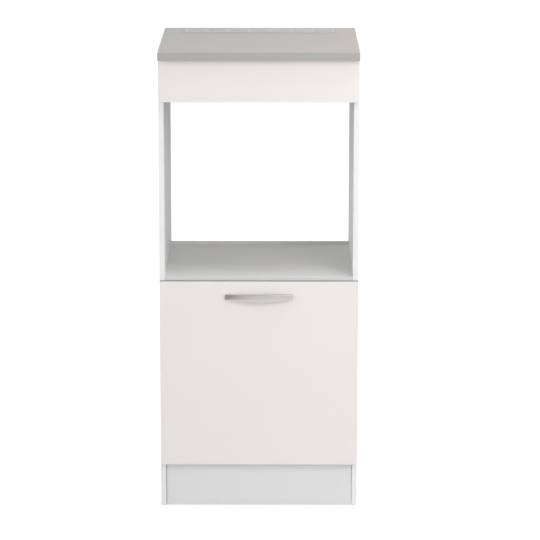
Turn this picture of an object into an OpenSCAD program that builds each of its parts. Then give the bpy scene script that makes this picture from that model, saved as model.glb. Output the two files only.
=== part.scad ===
// Half-height kitchen cabinet for a microwave oven: an open niche over one deep drawer.
// +X is the cabinet's right, -Y its front, +Z up. The origin is on the floor, in the
// middle of the whole cabinet's width and depth.

/* [Cabinet] */
// Width across the two side panels, and of the worktop
cabinet_w = 600; // [450:10:800]
// Depth of the side panels
carcass_d = 560; // [540:5:580]
// Height of the side panels
carcass_h = 1378; // [1300:1:1500]
// Thickness of the carcass boards
board_t = 16; // [15:1:19]
// Thickness of the edge bands on the boards
edge_t = 1; // [0.5:0.1:2]
// Height of the bottom panel's underside above the foot of the side panels
plinth_h = 134; // [90:1:160]
// Setback of the plinth board behind the side panels' front edges
plinth_setback = 5; // [2:1:50]
// Clearance of the plinth board above the foot of the side panels
plinth_lift = 1; // [0:0.5:5]
// Gap between each end of the plinth board and the side panel
plinth_gap = 1; // [0:0.5:3]
// Height of the niche floor above the foot of the side panels
shelf_top_h = 716; // [640:1:780]
// Height of the two rails under the worktop
rail_h = 100; // [90:1:130]

/* [Back] */
// Space between the back panel's front face and the wall
service_gap = 60; // [45:1:75]
// Thickness of the back panel
back_t = 3; // [2.5:0.1:4]
// Height of the back panel above the niche floor
back_upstand = 10; // [5:1:40]
// Depth of the back panel's grooves in the side panels
groove_d = 7; // [5:0.5:8]

/* [Worktop] */
// Overhang of the worktop in front of the side panels
worktop_overhang = 40; // [30:1:60]
// Thickness of the worktop
worktop_t = 24; // [22:1:40]

/* [Ventilation grille] */
// Distance of the grille's ends from the sides of the worktop
grille_inset = 64; // [50:1:80]
// Depth of the grille, front to back
grille_d = 90; // [80:1:105]
// Distance of the grille's back edge from the worktop's back edge
grille_back = 42; // [30:1:50]
// Thickness of the grille's flange
grille_t = 2; // [1.5:0.1:3]
// Height of the grille's skirt below the worktop's surface
skirt_h = 12; // [8:1:18]
// Thickness of the grille's skirt
skirt_t = 1.5; // [1:0.1:2.5]
// Width of the flange in front of the slots
grille_front = 20; // [16:1:30]
// Width of the flange on the other three sides
grille_rim = 11; // [8:0.5:12]
// Number of slot groups along the grille
slot_groups = 7; // [4:1:9]
// Width of the bars between two slot groups
group_bar = 9.5; // [6:0.5:12]
// Number of slots in a group
slot_rows = 5; // [3:1:6]
// Width of one slot
slot_w = 4; // [3:0.5:5]

/* [Fronts] */
// Thickness of the drawer front and the fascia
front_t = 16; // [16:1:19]
// Width of the side panels' edges that shows beside the fronts
front_reveal = 1; // [0.5:0.5:3]
// Height of the niche floor's edge that shows above the drawer front
shelf_reveal = 9; // [6:1:14]
// Height of the drawer front's lower edge above the bottom panel's underside
front_rise = 1; // [0:1:8]
// Gap between the drawer front and the side panels, held by the bumpers
front_gap = 3; // [2:0.5:4]
// Height of the fascia under the worktop
fascia_h = 127; // [115:1:150]
// Radius of the bumpers behind the drawer front
bumper_r = 4; // [3:0.5:5]

/* [Handle] */
// Length of the handle
handle_l = 204; // [190:1:260]
// Distance of the handle's screws from its ends
handle_screw_inset = 12; // [9:1:14]
// Distance that the handle stands out from the drawer front
handle_out = 25; // [22:0.5:30]
// Depth of the handle at its ends
handle_end_d = 8; // [7:0.5:10]
// Thickness of the handle's grip
grip_t = 6; // [4:0.5:8]
// Height of the handle at its ends
handle_end_h = 14.6; // [12:0.1:18]
// Rise of the handle's upper edge towards its middle
handle_top_rise = 3.1; // [2:0.1:6]
// Drop of the handle's lower edge towards its middle
handle_belly = 7.1; // [4:0.1:9]
// Height of the lower facet in the handle's middle
facet_h = 9.3; // [8:0.1:12]
// Depth of the lower facet in the handle's middle
facet_d = 3; // [1:0.5:4]
// Width of each of the handle's feet
handle_foot_w = 18; // [16:0.5:24]
// Distance of the handle's lower edge below the drawer front's upper edge
handle_drop = 61.5; // [45:0.5:70]

/* [Drawer box] */
// Space between the drawer's back and the back panel
drawer_rear_space = 53; // [43:1:83]
// Height of the drawer's side boards
drawer_h = 220; // [160:5:260]
// Thickness of the drawer's boards
drawer_t = 12; // [12:1:16]
// Thickness of the drawer's bottom
drawer_bottom_t = 3; // [3:0.5:5]
// Height of the drawer's bottom above the lower edge of its side boards
drawer_bottom_h = 10; // [8:1:14]
// Depth of the grooves for the drawer's bottom
drawer_groove_d = 6; // [4:0.5:7]

/* [Runners] */
// Width of the space for a runner on each side of the drawer
runner_gap = 12.5; // [12.5:0.5:14]
// Thickness of the runners' steel
steel_t = 1.2; // [1:0.1:1.4]
// Height of the runners above the bottom panel
runner_lift = 22; // [15:1:40]
// How far the drawer slides out
drawer_travel = 340; // [200:10:350]
// Radius of the rear rollers
rear_roller_r = 12; // [11.5:0.1:13]
// Radius of the front rollers
front_roller_r = 10; // [9:0.1:10.5]
// Width of the rollers
roller_w = 6; // [5:0.1:6.1]
// Radius of the rollers' pins
axle_r = 2.5; // [2:0.1:3]
// Radial clearance of a roller on its pin
axle_play = 0.06; // [0.02:0.01:0.1]
// Distance of a roller's pin from the end of its runner
axle_inset = 14; // [13:0.5:18]
// Gap left between parts that slide or roll past each other
rest_gap = 0.3; // [0.2:0.05:0.5]

/* [Feet] */
// Height of the glides under the side panels
glide_h = 3; // [2:0.5:8]
// Radius of the glides
glide_r = 7; // [5:0.5:7]

/* [Fasteners] */
// Radius of the cam fittings
cam_r = 7.5; // [6:0.5:8]
// Depth of the cam fittings in their board
cam_d = 12.5; // [11:0.5:13]
// Distance of a cam's centre from the end of its board
cam_reach = 34; // [24:1:40]
// Radius of the cam bolts
bolt_r = 3; // [2.5:0.1:3.5]
// Depth of the bolts and dowels in the side panels
side_hole_d = 11; // [9:0.5:12]
// Radius of the dowels
dowel_r = 4; // [3:0.5:4]
// Length of the dowels
dowel_l = 30; // [25:1:35]
// Distance between a cam bolt and the dowel beside it
dowel_offset = 32; // [25:1:40]
// Radius of the chipboard screws
screw_r = 1.75; // [1.5:0.05:2]
// Radius of the screws' heads
screw_head_r = 3.4; // [3:0.1:4]
// Radius of the handle's screws
handle_screw_r = 2; // [1.5:0.1:2.5]
// Radius of the wall fixing holes in the rear rail
wall_hole_r = 3; // [2.5:0.1:4]
// Distance of the wall fixing holes from the side panels
wall_hole_inset = 84; // [60:1:100]

/* [Hidden] */
$fn = 48;
large_fn = 240;
overcut = 1;
fit = 0.05;
hole_spare = 1;

white = [0.93, 0.93, 0.93];
front_white = [0.93, 0.91, 0.90];
grey = [0.73, 0.72, 0.70];
backing = [0.90, 0.89, 0.87];
steel = [0.78, 0.79, 0.80];
nickel = [0.72, 0.71, 0.70];
plastic = [0.86, 0.86, 0.85];
beech = [0.83, 0.69, 0.50];

// Widths and depths that follow from the sizes above
worktop_d = carcass_d + worktop_overhang;
front_w = cabinet_w - 2 * front_reveal;
grille_w = cabinet_w - 2 * grille_inset;

// Planes across the depth, from the wall at rear_y to the handle
rear_y = max(worktop_d, carcass_d + front_gap + front_t + handle_out) / 2;
worktop_front_y = rear_y - worktop_d;
carcass_front_y = rear_y - carcass_d;
drawer_back_y = carcass_front_y - front_gap;
drawer_face_y = drawer_back_y - front_t;
shelf_rear_y = rear_y - service_gap;
shelf_d = carcass_d - service_gap;

// Length of the drawer's side boards, and of the runners
drawer_l = shelf_rear_y - drawer_rear_space - drawer_back_y;

// Levels above the floor
side_z = glide_h;
bottom_z = side_z + plinth_h;
bottom_top_z = bottom_z + board_t;
shelf_top_z = side_z + shelf_top_h;
shelf_z = shelf_top_z - board_t;
carcass_top_z = side_z + carcass_h;
rail_z = carcass_top_z - rail_h;
front_z = bottom_z + front_rise;
front_top_z = shelf_top_z - shelf_reveal;
drawer_front_h = front_top_z - front_z;

inner_w = cabinet_w - 2 * board_t;
half_inner = inner_w / 2;

// Cam and dowel joints of the carcass, the same on both sides. Each is a place in depth, a
// height, the turn that faces the cam's mouth, and the direction in which dowels are set off.
down = [180, 0, 0];
backwards = [-90, 0, 0];
forwards = [90, 0, 0];
cam_inset = 60;
front_rail_y = carcass_front_y + board_t / 2;
rear_rail_y = rear_y - board_t / 2;
cam_front_y = carcass_front_y + cam_inset;
cam_rear_y = shelf_rear_y - cam_inset;
panel_levels = [bottom_z + board_t / 2, shelf_z + board_t / 2];
panel_joints = [for (z = panel_levels) each [
    [cam_front_y, z, down, [0, 1, 0]],
    [cam_rear_y, z, down, [0, -1, 0]]]];
rail_joint_z = rail_z + rail_h / 2;
front_rail_joint = [front_rail_y, rail_joint_z, backwards, [0, 0, 1]];
rear_rail_joint = [rear_rail_y, rail_joint_z, forwards, [0, 0, 1]];
carcass_joints = concat(panel_joints, [front_rail_joint, rear_rail_joint]);
dowel_side_l = side_hole_d - hole_spare;
dowel_board_l = dowel_l - dowel_side_l;

// The handle: an outer bow, a leaning bow that cuts a facet along its lower edge and runs out
// at its ends, an arched upper edge and a lower edge that bellies down
handle_half = handle_l / 2;
handle_mid_h = handle_belly + handle_end_h + handle_top_rise;
bow_rise = handle_out - handle_end_d;
bow_r = bow_radius(handle_half, bow_rise);
facet_lean = atan(facet_d / facet_h);
facet_rise = (bow_rise - facet_d * (1 - handle_belly / facet_h)) * cos(facet_lean);
facet_r = bow_radius(handle_half, facet_rise);
top_r = bow_radius(handle_half, handle_top_rise);
belly_r = bow_radius(handle_half, handle_belly);
handle_z = front_top_z - handle_drop;
handle_screw_z = handle_z + handle_belly + handle_end_h / 2;
handle_screw_bite = 6;
handle_head_r = 3.8;
handle_head_h = 2.2;

// The runner's section, measured from the side panel inwards and from its lower edge up
runner_z = bottom_top_z + runner_lift;
runner_front_y = carcass_front_y + hole_spare;
axle_z = steel_t + rest_gap + rear_roller_r;
channel_top = axle_z + rear_roller_r + 2 * rest_gap;
channel_h = channel_top + steel_t;
web_x = runner_gap - steel_t;
channel_w = web_x - rest_gap;
lip_h = 2;
flange_z = axle_z + front_roller_r + rest_gap;
flange_x = 2 * steel_t;
shelf_flange_z = 4;
shelf_flange_w = 10;
channel_notch = 30;
rear_roller_x = channel_w - steel_t - rest_gap - roller_w;
front_roller_x = 2 * steel_t + rest_gap;
pin_head_r = 4;
pin_head_t = 0.6;
pin_shoulder_r = 3.4;
front_axle_y = runner_front_y + axle_inset;
rear_axle_y = drawer_back_y + drawer_l - axle_inset;
stop_y = rear_axle_y - drawer_travel - rear_roller_r - rest_gap;
flange_clearance = 2;
flange_cut_y = rear_axle_y - rear_roller_r - flange_clearance;

// The drawer box
drawer_z = runner_z + shelf_flange_z + steel_t;
drawer_w = inner_w - 2 * runner_gap;
drawer_inner_w = drawer_w - 2 * drawer_t;
drawer_rear_y = drawer_back_y + drawer_l;
drawer_floor_z = drawer_z + drawer_bottom_h;
drawer_bottom_w = drawer_inner_w + 2 * (drawer_groove_d - rest_gap);
drawer_bottom_y = drawer_back_y + drawer_t - drawer_groove_d + rest_gap;
drawer_bottom_l = drawer_rear_y - drawer_bottom_y;
drawer_back_z = drawer_floor_z + drawer_bottom_t;

// Screws, by place. Screws of one kind share a length.
runner_screw_l = 12;
flange_screw_l = steel_t + drawer_bottom_h - 2 * hole_spare;
runner_head_t = 0.7;
runner_screw_ys = [for (k = [0.12, 0.5, 0.88]) runner_front_y + k * drawer_l];
shelf_flange_screw_ys = [for (k = [0.2, 0.8]) drawer_back_y + k * drawer_l];
box_screw_l = 40;
box_head_t = 2.5;
box_screw_zs = [for (k = [0.3, 0.75]) drawer_z + k * drawer_h];
front_screw_bite = 12;
front_screw_l = drawer_t + front_screw_bite;
front_screw_xs = [for (s = [-1, 1]) s * 0.35 * drawer_inner_w];
fascia_screw_l = board_t + front_screw_bite;
fascia_screw_xs = [for (s = [-1, 1]) s * 0.35 * inner_w];
fascia_screw_zs = [for (s = [-1, 1]) rail_joint_z + s * 0.25 * rail_h];
pan_head_t = 2;
bracket_leg = 20;
bracket_w = 16;
bracket_t = 1.5;
bracket_screw_l = 12;
bracket_inset = 120;
bracket_clearance = 60;
bracket_front_y = carcass_front_y + bracket_inset;
bracket_rear_y = rear_y - grille_back - grille_d - bracket_clearance;
block_w = 18;
block_h = 40;
block_drop = 20;
screw_bite = 10;
block_screw_l = block_w + screw_bite;
plinth_y = carcass_front_y + plinth_setback;
plinth_z = side_z + plinth_lift;
plinth_rear_y = plinth_y + board_t;
block_z = bottom_z - block_h - block_drop;
nail_r = 0.8;
nail_l = 18;
nail_head_r = 1.8;
nail_head_t = 0.8;
back_nail_xs = [for (k = [-0.45, -0.15, 0.15, 0.45]) k * inner_w];
glide_inset = 40;
glide_pin_r = 1.2;
glide_pin_l = 15;
bumper_inset = 30;

// Back panel and its grooves
back_z = bottom_z;
back_h = shelf_top_z + back_upstand - back_z;
back_w = inner_w + 2 * (groove_d - rest_gap);

// The grille's slots, and the cut-out under them
grille_rear_y = rear_y - grille_back;
grille_front_y = grille_rear_y - grille_d;
slots_y = grille_front_y + grille_front;
slots_d = grille_d - grille_front - grille_rim;
slots_l = grille_w - 2 * grille_rim;
slot_l = (slots_l - (slot_groups - 1) * group_bar) / slot_groups;
slot_step = slots_d / slot_rows;
cutout_w = slots_l + 2 * (skirt_t + fit);
cutout_y = slots_y - skirt_t - fit;
cutout_d = slots_d + 2 * (skirt_t + fit);
worktop_top_z = carcass_top_z + worktop_t;

function bow_radius(half_chord, rise) = (half_chord * half_chord + rise * rise) / (2 * rise);

// ---- Shared shapes and places ----

// A board from its lowest corner
module board(corner, size) {
    translate(corner) cube(size);
}

// A board that is centred on the cabinet's middle plane
module centred_board(w, y, z, d, h) {
    board([-w / 2, y, z], [w, d, h]);
}

// The same thing on the right-hand side, and mirrored on the left
module both_sides() {
    children();
    mirror([1, 0, 0]) children();
}

// A round bar along +X from a point
module bar_x(r, l) {
    rotate([0, 90, 0]) cylinder(r = r, h = l);
}

// A screw along +Z, with the underside of its head at the origin
module screw(l, r, head_r, head_t) {
    cylinder(r = r, h = l);
    translate([0, 0, -head_t]) cylinder(r = head_r, h = head_t);
}

// The bore of a screw, open at its head and a little deeper than its point
module screw_bore(l, r) {
    translate([0, 0, -overcut]) cylinder(r = r + fit, h = l + overcut + hole_spare);
}

// Children with +X pointing out into the right-hand side panel and +Z to the cam's mouth
module at_joint(joint) {
    translate([half_inner, joint[0], joint[1]]) rotate(joint[2]) children();
}

// Children at the dowels beside a joint's bolt
module at_dowels(joint) {
    both_ways = joint[3][2] == 0 ? [1] : [-1, 1];
    for (way = both_ways)
        translate([half_inner, joint[0], joint[1]] + way * dowel_offset * joint[3]) children();
}

// What the joints cut out of a board between the side panels
module board_joint_cuts(joints) {
    both_sides() for (joint = joints) {
        at_joint(joint) {
            translate([-cam_reach, 0, board_t / 2 - cam_d]) cylinder(r = cam_r, h = cam_d + overcut);
            translate([-cam_reach, 0, 0]) bar_x(bolt_r + fit, cam_reach + overcut);
        }
        at_dowels(joint) translate([-dowel_board_l - hole_spare, 0, 0])
            bar_x(dowel_r + fit, dowel_board_l + hole_spare + overcut);
    }
}

// What the joints cut out of the right-hand side panel
module side_joint_cuts() {
    for (joint = carcass_joints) {
        at_joint(joint) translate([-overcut, 0, 0]) bar_x(bolt_r + fit, side_hole_d + overcut);
        at_dowels(joint) translate([-overcut, 0, 0]) bar_x(dowel_r + fit, side_hole_d + overcut);
    }
}

// The four strips around a front that is edge_t smaller on every side
module edge_frame(w, h, y, z, d) {
    for (level = [z, z + h - edge_t]) centred_board(w, y, level, d, edge_t);
    both_sides() board([w / 2 - edge_t, y, z + edge_t], [edge_t, d, h - 2 * edge_t]);
}

module at_glides() {
    both_sides() for (y = [carcass_front_y + glide_inset, rear_y - glide_inset])
        translate([cabinet_w / 2 - board_t / 2, y, 0]) children();
}

module at_fascia_screws() {
    for (x = fascia_screw_xs, z = fascia_screw_zs)
        translate([x, carcass_front_y + board_t, z]) rotate(forwards) children();
}

module at_brackets() {
    both_sides() for (y = [bracket_front_y, bracket_rear_y])
        translate([half_inner, y, carcass_top_z]) children();
}

// A bracket's two screws, from its corner at the side panel's upper edge
module at_bracket_screws() {
    at_brackets() {
        translate([-bracket_t, 0, -bracket_leg / 2]) rotate([0, 90, 0]) children();
        translate([-bracket_leg / 2, 0, -bracket_t]) children();
    }
}

module at_blocks() {
    both_sides() translate([half_inner - block_w, plinth_rear_y, block_z]) children();
}

// A block's two screws, from its free faces into the side panel and the plinth board
module at_block_screws() {
    at_blocks() {
        translate([0, block_w / 2, 0.7 * block_h]) rotate([0, 90, 0]) children();
        translate([block_w / 2, block_w, 0.3 * block_h]) rotate(forwards) children();
    }
}

module at_back_nails() {
    for (x = back_nail_xs, z = panel_levels)
        translate([x, shelf_rear_y + back_t, z]) rotate(forwards) children();
}

module at_channel_screws() {
    both_sides() for (y = runner_screw_ys)
        translate([half_inner - steel_t, y, runner_z + axle_z]) rotate([0, 90, 0]) children();
}

module at_runner_screws() {
    both_sides() for (y = shelf_flange_screw_ys)
        translate([drawer_w / 2 - drawer_t / 2, y, drawer_z - steel_t]) children();
}

// The screws through the drawer's side boards into its inner front and its back
module at_box_screws() {
    both_sides() for (y = [drawer_back_y + drawer_t / 2, drawer_rear_y - drawer_t / 2])
        for (z = box_screw_zs)
            translate([drawer_w / 2 - box_head_t, y, z]) rotate([0, -90, 0]) children();
}

module at_front_screws() {
    for (x = front_screw_xs, z = box_screw_zs)
        translate([x, drawer_back_y + drawer_t, z]) rotate(forwards) children();
}

module at_handle_screws() {
    both_sides() translate([handle_half - handle_screw_inset, drawer_back_y, handle_screw_z])
        rotate(forwards) children();
}

// Children in the right-hand runner's frame: +X outwards from the drawer to the side panel
module at_runner() {
    translate([half_inner, 0, runner_z]) mirror([1, 0, 0]) children();
}

// ---- Carcass ----

module side_panel() {
    difference() {
        board([half_inner, carcass_front_y + edge_t, side_z],
            [board_t, carcass_d - edge_t, carcass_h]);
        board([half_inner - overcut, shelf_rear_y, side_z - overcut],
            [groove_d + overcut, back_t + fit, plinth_h + back_h + rest_gap + overcut]);
        side_joint_cuts();
        at_glides() translate([0, 0, side_z]) screw_bore(glide_pin_l, glide_pin_r);
        at_bracket_screws() screw_bore(bracket_screw_l, screw_r);
        at_block_screws() screw_bore(block_screw_l, screw_r);
        at_channel_screws() screw_bore(runner_screw_l, screw_r);
    }
}

module side_panel_right() {
    color(white) side_panel();
}

module side_panel_left() {
    color(white) mirror([1, 0, 0]) side_panel();
}

module bottom_panel() {
    color(white) difference() {
        centred_board(inner_w, carcass_front_y + edge_t, bottom_z, shelf_d - edge_t, board_t);
        board_joint_cuts([panel_joints[0], panel_joints[1]]);
        at_back_nails() screw_bore(nail_l, nail_r);
    }
}

module niche_shelf() {
    color(white) difference() {
        centred_board(inner_w, carcass_front_y + edge_t, shelf_z, shelf_d - edge_t, board_t);
        board_joint_cuts([panel_joints[2], panel_joints[3]]);
        at_back_nails() screw_bore(nail_l, nail_r);
    }
}

module front_rail() {
    color(white) difference() {
        centred_board(inner_w, carcass_front_y, rail_z, board_t, rail_h);
        board_joint_cuts([front_rail_joint]);
        at_fascia_screws() screw_bore(fascia_screw_l, screw_r);
    }
}

module rear_rail() {
    color(white) difference() {
        centred_board(inner_w, rear_y - board_t, rail_z, board_t, rail_h);
        board_joint_cuts([rear_rail_joint]);
        both_sides() translate([half_inner - wall_hole_inset, rear_y + overcut, rail_joint_z])
            rotate(forwards) cylinder(r = wall_hole_r, h = board_t + 2 * overcut);
    }
}

module plinth_board() {
    color(white) difference() {
        centred_board(inner_w - 2 * plinth_gap, plinth_y, plinth_z, board_t, bottom_z - plinth_z);
        at_block_screws() screw_bore(block_screw_l, screw_r);
    }
}

module plinth_blocks() {
    color(plastic) difference() {
        at_blocks() cube([block_w, block_w, block_h]);
        at_block_screws() screw_bore(block_screw_l, screw_r);
    }
}

module plinth_block_screws() {
    color(steel) at_block_screws() screw(block_screw_l, screw_r, screw_head_r, pan_head_t);
}

module back_panel() {
    color(backing) difference() {
        centred_board(back_w, shelf_rear_y, back_z, back_t, back_h);
        at_back_nails() screw_bore(nail_l, nail_r);
    }
}

module back_panel_nails() {
    color(steel) at_back_nails() screw(nail_l, nail_r, nail_head_r, nail_head_t);
}

// Bands on the front edges of the side panels, the bottom panel and the niche floor
module carcass_edging() {
    color(white) {
        both_sides() board([half_inner, carcass_front_y, side_z], [board_t, edge_t, carcass_h]);
        for (z = [bottom_z, shelf_z]) centred_board(inner_w, carcass_front_y, z, edge_t, board_t);
    }
}

// Cams, each with a slot that takes the end of its bolt
module carcass_cams() {
    slot_half = bolt_r + rest_gap;
    color(steel) both_sides() for (joint = carcass_joints) at_joint(joint)
        translate([-cam_reach, 0, board_t / 2 - cam_d]) difference() {
            cylinder(r = cam_r - fit, h = cam_d - rest_gap);
            translate([-rest_gap, -slot_half, cam_d - board_t / 2 - slot_half])
                cube([cam_r + overcut, 2 * slot_half, 2 * slot_half]);
        }
}

module carcass_cam_bolts() {
    color(steel) both_sides() for (joint = carcass_joints) at_joint(joint)
        translate([-cam_reach, 0, 0]) bar_x(bolt_r, cam_reach + side_hole_d - hole_spare);
}

module carcass_dowels() {
    color(beech) both_sides() for (joint = carcass_joints) at_dowels(joint)
        translate([-dowel_board_l, 0, 0]) bar_x(dowel_r, dowel_l);
}

// Nail-on glides under the side panels
module glides() {
    color(plastic) at_glides() {
        cylinder(r = glide_r, h = glide_h);
        cylinder(r = glide_pin_r, h = glide_h + glide_pin_l);
    }
}

// ---- Fascia and worktop ----

fascia_y = carcass_front_y - front_t;
fascia_z = carcass_top_z - fascia_h;

module fascia() {
    color(front_white) difference() {
        centred_board(front_w - 2 * edge_t, fascia_y, fascia_z + edge_t, front_t,
            fascia_h - 2 * edge_t);
        at_fascia_screws() screw_bore(fascia_screw_l, screw_r);
    }
}

module fascia_edging() {
    color(front_white) edge_frame(front_w, fascia_h, fascia_y, fascia_z, front_t);
}

module fascia_screws() {
    color(steel) at_fascia_screws() screw(fascia_screw_l, screw_r, screw_head_r, pan_head_t);
}

module worktop() {
    color(grey) difference() {
        centred_board(cabinet_w - 2 * edge_t, worktop_front_y + edge_t, carcass_top_z,
            worktop_d - edge_t, worktop_t);
        centred_board(cutout_w, cutout_y, carcass_top_z - overcut, cutout_d,
            worktop_t + 2 * overcut);
        at_bracket_screws() screw_bore(bracket_screw_l, screw_r);
    }
}

module worktop_edging() {
    color(grey) {
        centred_board(cabinet_w, worktop_front_y, carcass_top_z, edge_t, worktop_t);
        both_sides() board([cabinet_w / 2 - edge_t, worktop_front_y + edge_t, carcass_top_z],
            [edge_t, worktop_d - edge_t, worktop_t]);
    }
}

module worktop_brackets() {
    color(steel) difference() {
        at_brackets() translate([0, -bracket_w / 2, 0]) {
            board([-bracket_t, 0, -bracket_leg], [bracket_t, bracket_w, bracket_leg]);
            board([-bracket_leg, 0, -bracket_t], [bracket_leg, bracket_w, bracket_t]);
        }
        at_bracket_screws() screw_bore(bracket_screw_l, screw_r);
    }
}

module worktop_bracket_screws() {
    color(steel) at_bracket_screws() screw(bracket_screw_l, screw_r, screw_head_r, pan_head_t);
}

// A flange with groups of slots, on a skirt that drops into the worktop's cut-out
module vent_grille() {
    color(nickel) difference() {
        union() {
            centred_board(grille_w, grille_front_y, worktop_top_z, grille_d, grille_t);
            centred_board(slots_l + 2 * skirt_t, slots_y - skirt_t, worktop_top_z - skirt_h,
                slots_d + 2 * skirt_t, skirt_h + grille_t / 2);
        }
        centred_board(slots_l, slots_y, worktop_top_z - skirt_h - overcut, slots_d,
            skirt_h + overcut);
        for (i = [0 : slot_groups - 1], j = [0 : slot_rows - 1])
            board([i * (slot_l + group_bar) - slots_l / 2,
                slots_y + (j + 0.5) * slot_step - slot_w / 2, worktop_top_z - overcut],
                [slot_l, slot_w, grille_t + 2 * overcut]);
    }
}

// ---- Runners: a channel on each side panel, an angle on each drawer side, four rollers ----

module channel() {
    color(steel) difference() {
        at_runner() translate([0, runner_front_y, 0]) {
            cube([steel_t, drawer_l, channel_h]);
            cube([channel_w, drawer_l, steel_t]);
            translate([channel_w - steel_t, 0, 0]) cube([steel_t, drawer_l, steel_t + lip_h]);
            translate([0, channel_notch, channel_top])
                cube([channel_w, drawer_l - channel_notch, steel_t]);
            translate([rear_roller_x, stop_y - runner_front_y - steel_t, 0])
                cube([roller_w, steel_t, axle_z]);
        }
        at_channel_screws() screw_bore(runner_screw_l, screw_r);
        at_runner() translate([-overcut, front_axle_y, axle_z])
            bar_x(axle_r + fit, steel_t + 2 * overcut);
    }
}

module channel_right() {
    channel();
}

module channel_left() {
    mirror([1, 0, 0]) channel();
}

module channel_screws() {
    color(steel) at_channel_screws() screw(runner_screw_l, screw_r, screw_head_r, runner_head_t);
}

module front_roller() {
    color(plastic) at_runner() translate([front_roller_x, front_axle_y, axle_z]) difference() {
        bar_x(front_roller_r, roller_w);
        translate([-overcut, 0, 0]) bar_x(axle_r + axle_play, roller_w + 2 * overcut);
    }
}

module front_roller_right() {
    front_roller();
}

module front_roller_left() {
    mirror([1, 0, 0]) front_roller();
}

// Rivets in the channels: a shank in the web, a shoulder, the journal and a head
module front_roller_pins() {
    color(steel) both_sides() at_runner() translate([0, front_axle_y, axle_z]) {
        bar_x(axle_r, front_roller_x + roller_w + rest_gap + pin_head_t);
        translate([steel_t, 0, 0]) bar_x(pin_shoulder_r, front_roller_x - rest_gap - steel_t);
        translate([front_roller_x + roller_w + rest_gap, 0, 0]) bar_x(pin_head_r, pin_head_t);
    }
}

module drawer_runner() {
    color(steel) difference() {
        at_runner() translate([0, drawer_back_y, 0]) {
            translate([web_x, 0, shelf_flange_z])
                cube([steel_t, drawer_l, flange_z + steel_t - shelf_flange_z]);
            translate([web_x, 0, shelf_flange_z])
                cube([steel_t + shelf_flange_w, drawer_l, steel_t]);
            translate([flange_x, 0, flange_z])
                cube([web_x - flange_x, flange_cut_y - drawer_back_y, steel_t]);
        }
        at_runner_screws() screw_bore(flange_screw_l, screw_r);
        at_runner() translate([web_x - overcut, rear_axle_y, axle_z])
            bar_x(axle_r + fit, steel_t + 2 * overcut);
    }
}

module drawer_runner_right() {
    drawer_runner();
}

module drawer_runner_left() {
    mirror([1, 0, 0]) drawer_runner();
}

module drawer_runner_screws() {
    color(steel) at_runner_screws() screw(flange_screw_l, screw_r, screw_head_r, pan_head_t);
}

module rear_roller() {
    color(plastic) at_runner() translate([rear_roller_x, rear_axle_y, axle_z]) difference() {
        bar_x(rear_roller_r, roller_w);
        translate([-overcut, 0, 0]) bar_x(axle_r + axle_play, roller_w + 2 * overcut);
    }
}

module rear_roller_right() {
    rear_roller();
}

module rear_roller_left() {
    mirror([1, 0, 0]) rear_roller();
}

// Rivets in the drawer's angles, with their heads towards the side panels
module rear_roller_pins() {
    head_x = rear_roller_x - rest_gap - pin_head_t;
    shoulder_x = rear_roller_x + roller_w + rest_gap;
    color(steel) both_sides() at_runner() translate([0, rear_axle_y, axle_z]) {
        translate([head_x, 0, 0]) bar_x(axle_r, runner_gap - head_x);
        translate([head_x, 0, 0]) bar_x(pin_head_r, pin_head_t);
        translate([shoulder_x, 0, 0]) bar_x(pin_shoulder_r, web_x - shoulder_x);
    }
}

// ---- Drawer ----

module drawer_front() {
    color(front_white) difference() {
        centred_board(front_w - 2 * edge_t, drawer_face_y, front_z + edge_t, front_t,
            drawer_front_h - 2 * edge_t);
        at_front_screws() screw_bore(front_screw_l, screw_r);
        at_handle_screws() screw_bore(front_t + overcut, handle_screw_r);
    }
}

module drawer_front_edging() {
    color(front_white) edge_frame(front_w, drawer_front_h, drawer_face_y, front_z, front_t);
}

module front_bumpers() {
    color(plastic) both_sides()
        for (z = [front_z + bumper_inset, front_top_z - bumper_inset])
            translate([half_inner + board_t / 2, drawer_back_y, z]) rotate(backwards)
                cylinder(r = bumper_r, h = front_gap - rest_gap);
}

// A bowed grip: the space behind the outer bow and the leaning facet, between the arched upper
// edge and the belly, less the finger space between the two feet
module handle() {
    color(nickel) translate([0, drawer_face_y, handle_z]) difference() {
        intersection() {
            centred_board(handle_l, -handle_out, 0, handle_out, handle_mid_h);
            translate([0, bow_r - handle_out, 0])
                cylinder(r = bow_r, h = handle_mid_h, $fn = large_fn);
            translate([0, facet_d - handle_out, 0]) rotate([facet_lean, 0, 0])
                translate([0, facet_r, -handle_mid_h])
                cylinder(r = facet_r, h = 4 * handle_mid_h, $fn = large_fn);
            for (edge = [[handle_mid_h - top_r, top_r], [belly_r, belly_r]])
                translate([0, overcut, edge[0]]) rotate(forwards)
                cylinder(r = edge[1], h = handle_out + 2 * overcut, $fn = large_fn);
        }
        intersection() {
            translate([0, bow_r - handle_out, -overcut])
                cylinder(r = bow_r - grip_t, h = handle_mid_h + 2 * overcut, $fn = large_fn);
            centred_board(handle_l - 2 * handle_foot_w, -handle_out, -overcut,
                handle_out + overcut, handle_mid_h + 2 * overcut);
        }
        translate([0, -drawer_face_y, -handle_z]) at_handle_screws()
            screw_bore(front_t + handle_screw_bite, handle_screw_r);
    }
}

module handle_screws() {
    color(steel) at_handle_screws()
        screw(front_t + handle_screw_bite, handle_screw_r, handle_head_r, handle_head_h);
}

module drawer_side() {
    color(white) difference() {
        board([drawer_w / 2 - drawer_t, drawer_back_y, drawer_z], [drawer_t, drawer_l, drawer_h]);
        board([drawer_inner_w / 2 - overcut, drawer_bottom_y, drawer_floor_z],
            [drawer_groove_d + overcut, drawer_l, drawer_bottom_t]);
        at_box_screws() screw_bore(box_screw_l, screw_r);
        at_box_screws() translate([0, 0, -box_head_t]) cylinder(r = screw_head_r + fit, h = box_head_t);
        at_runner_screws() screw_bore(flange_screw_l, screw_r);
    }
}

module drawer_side_right() {
    drawer_side();
}

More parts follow.
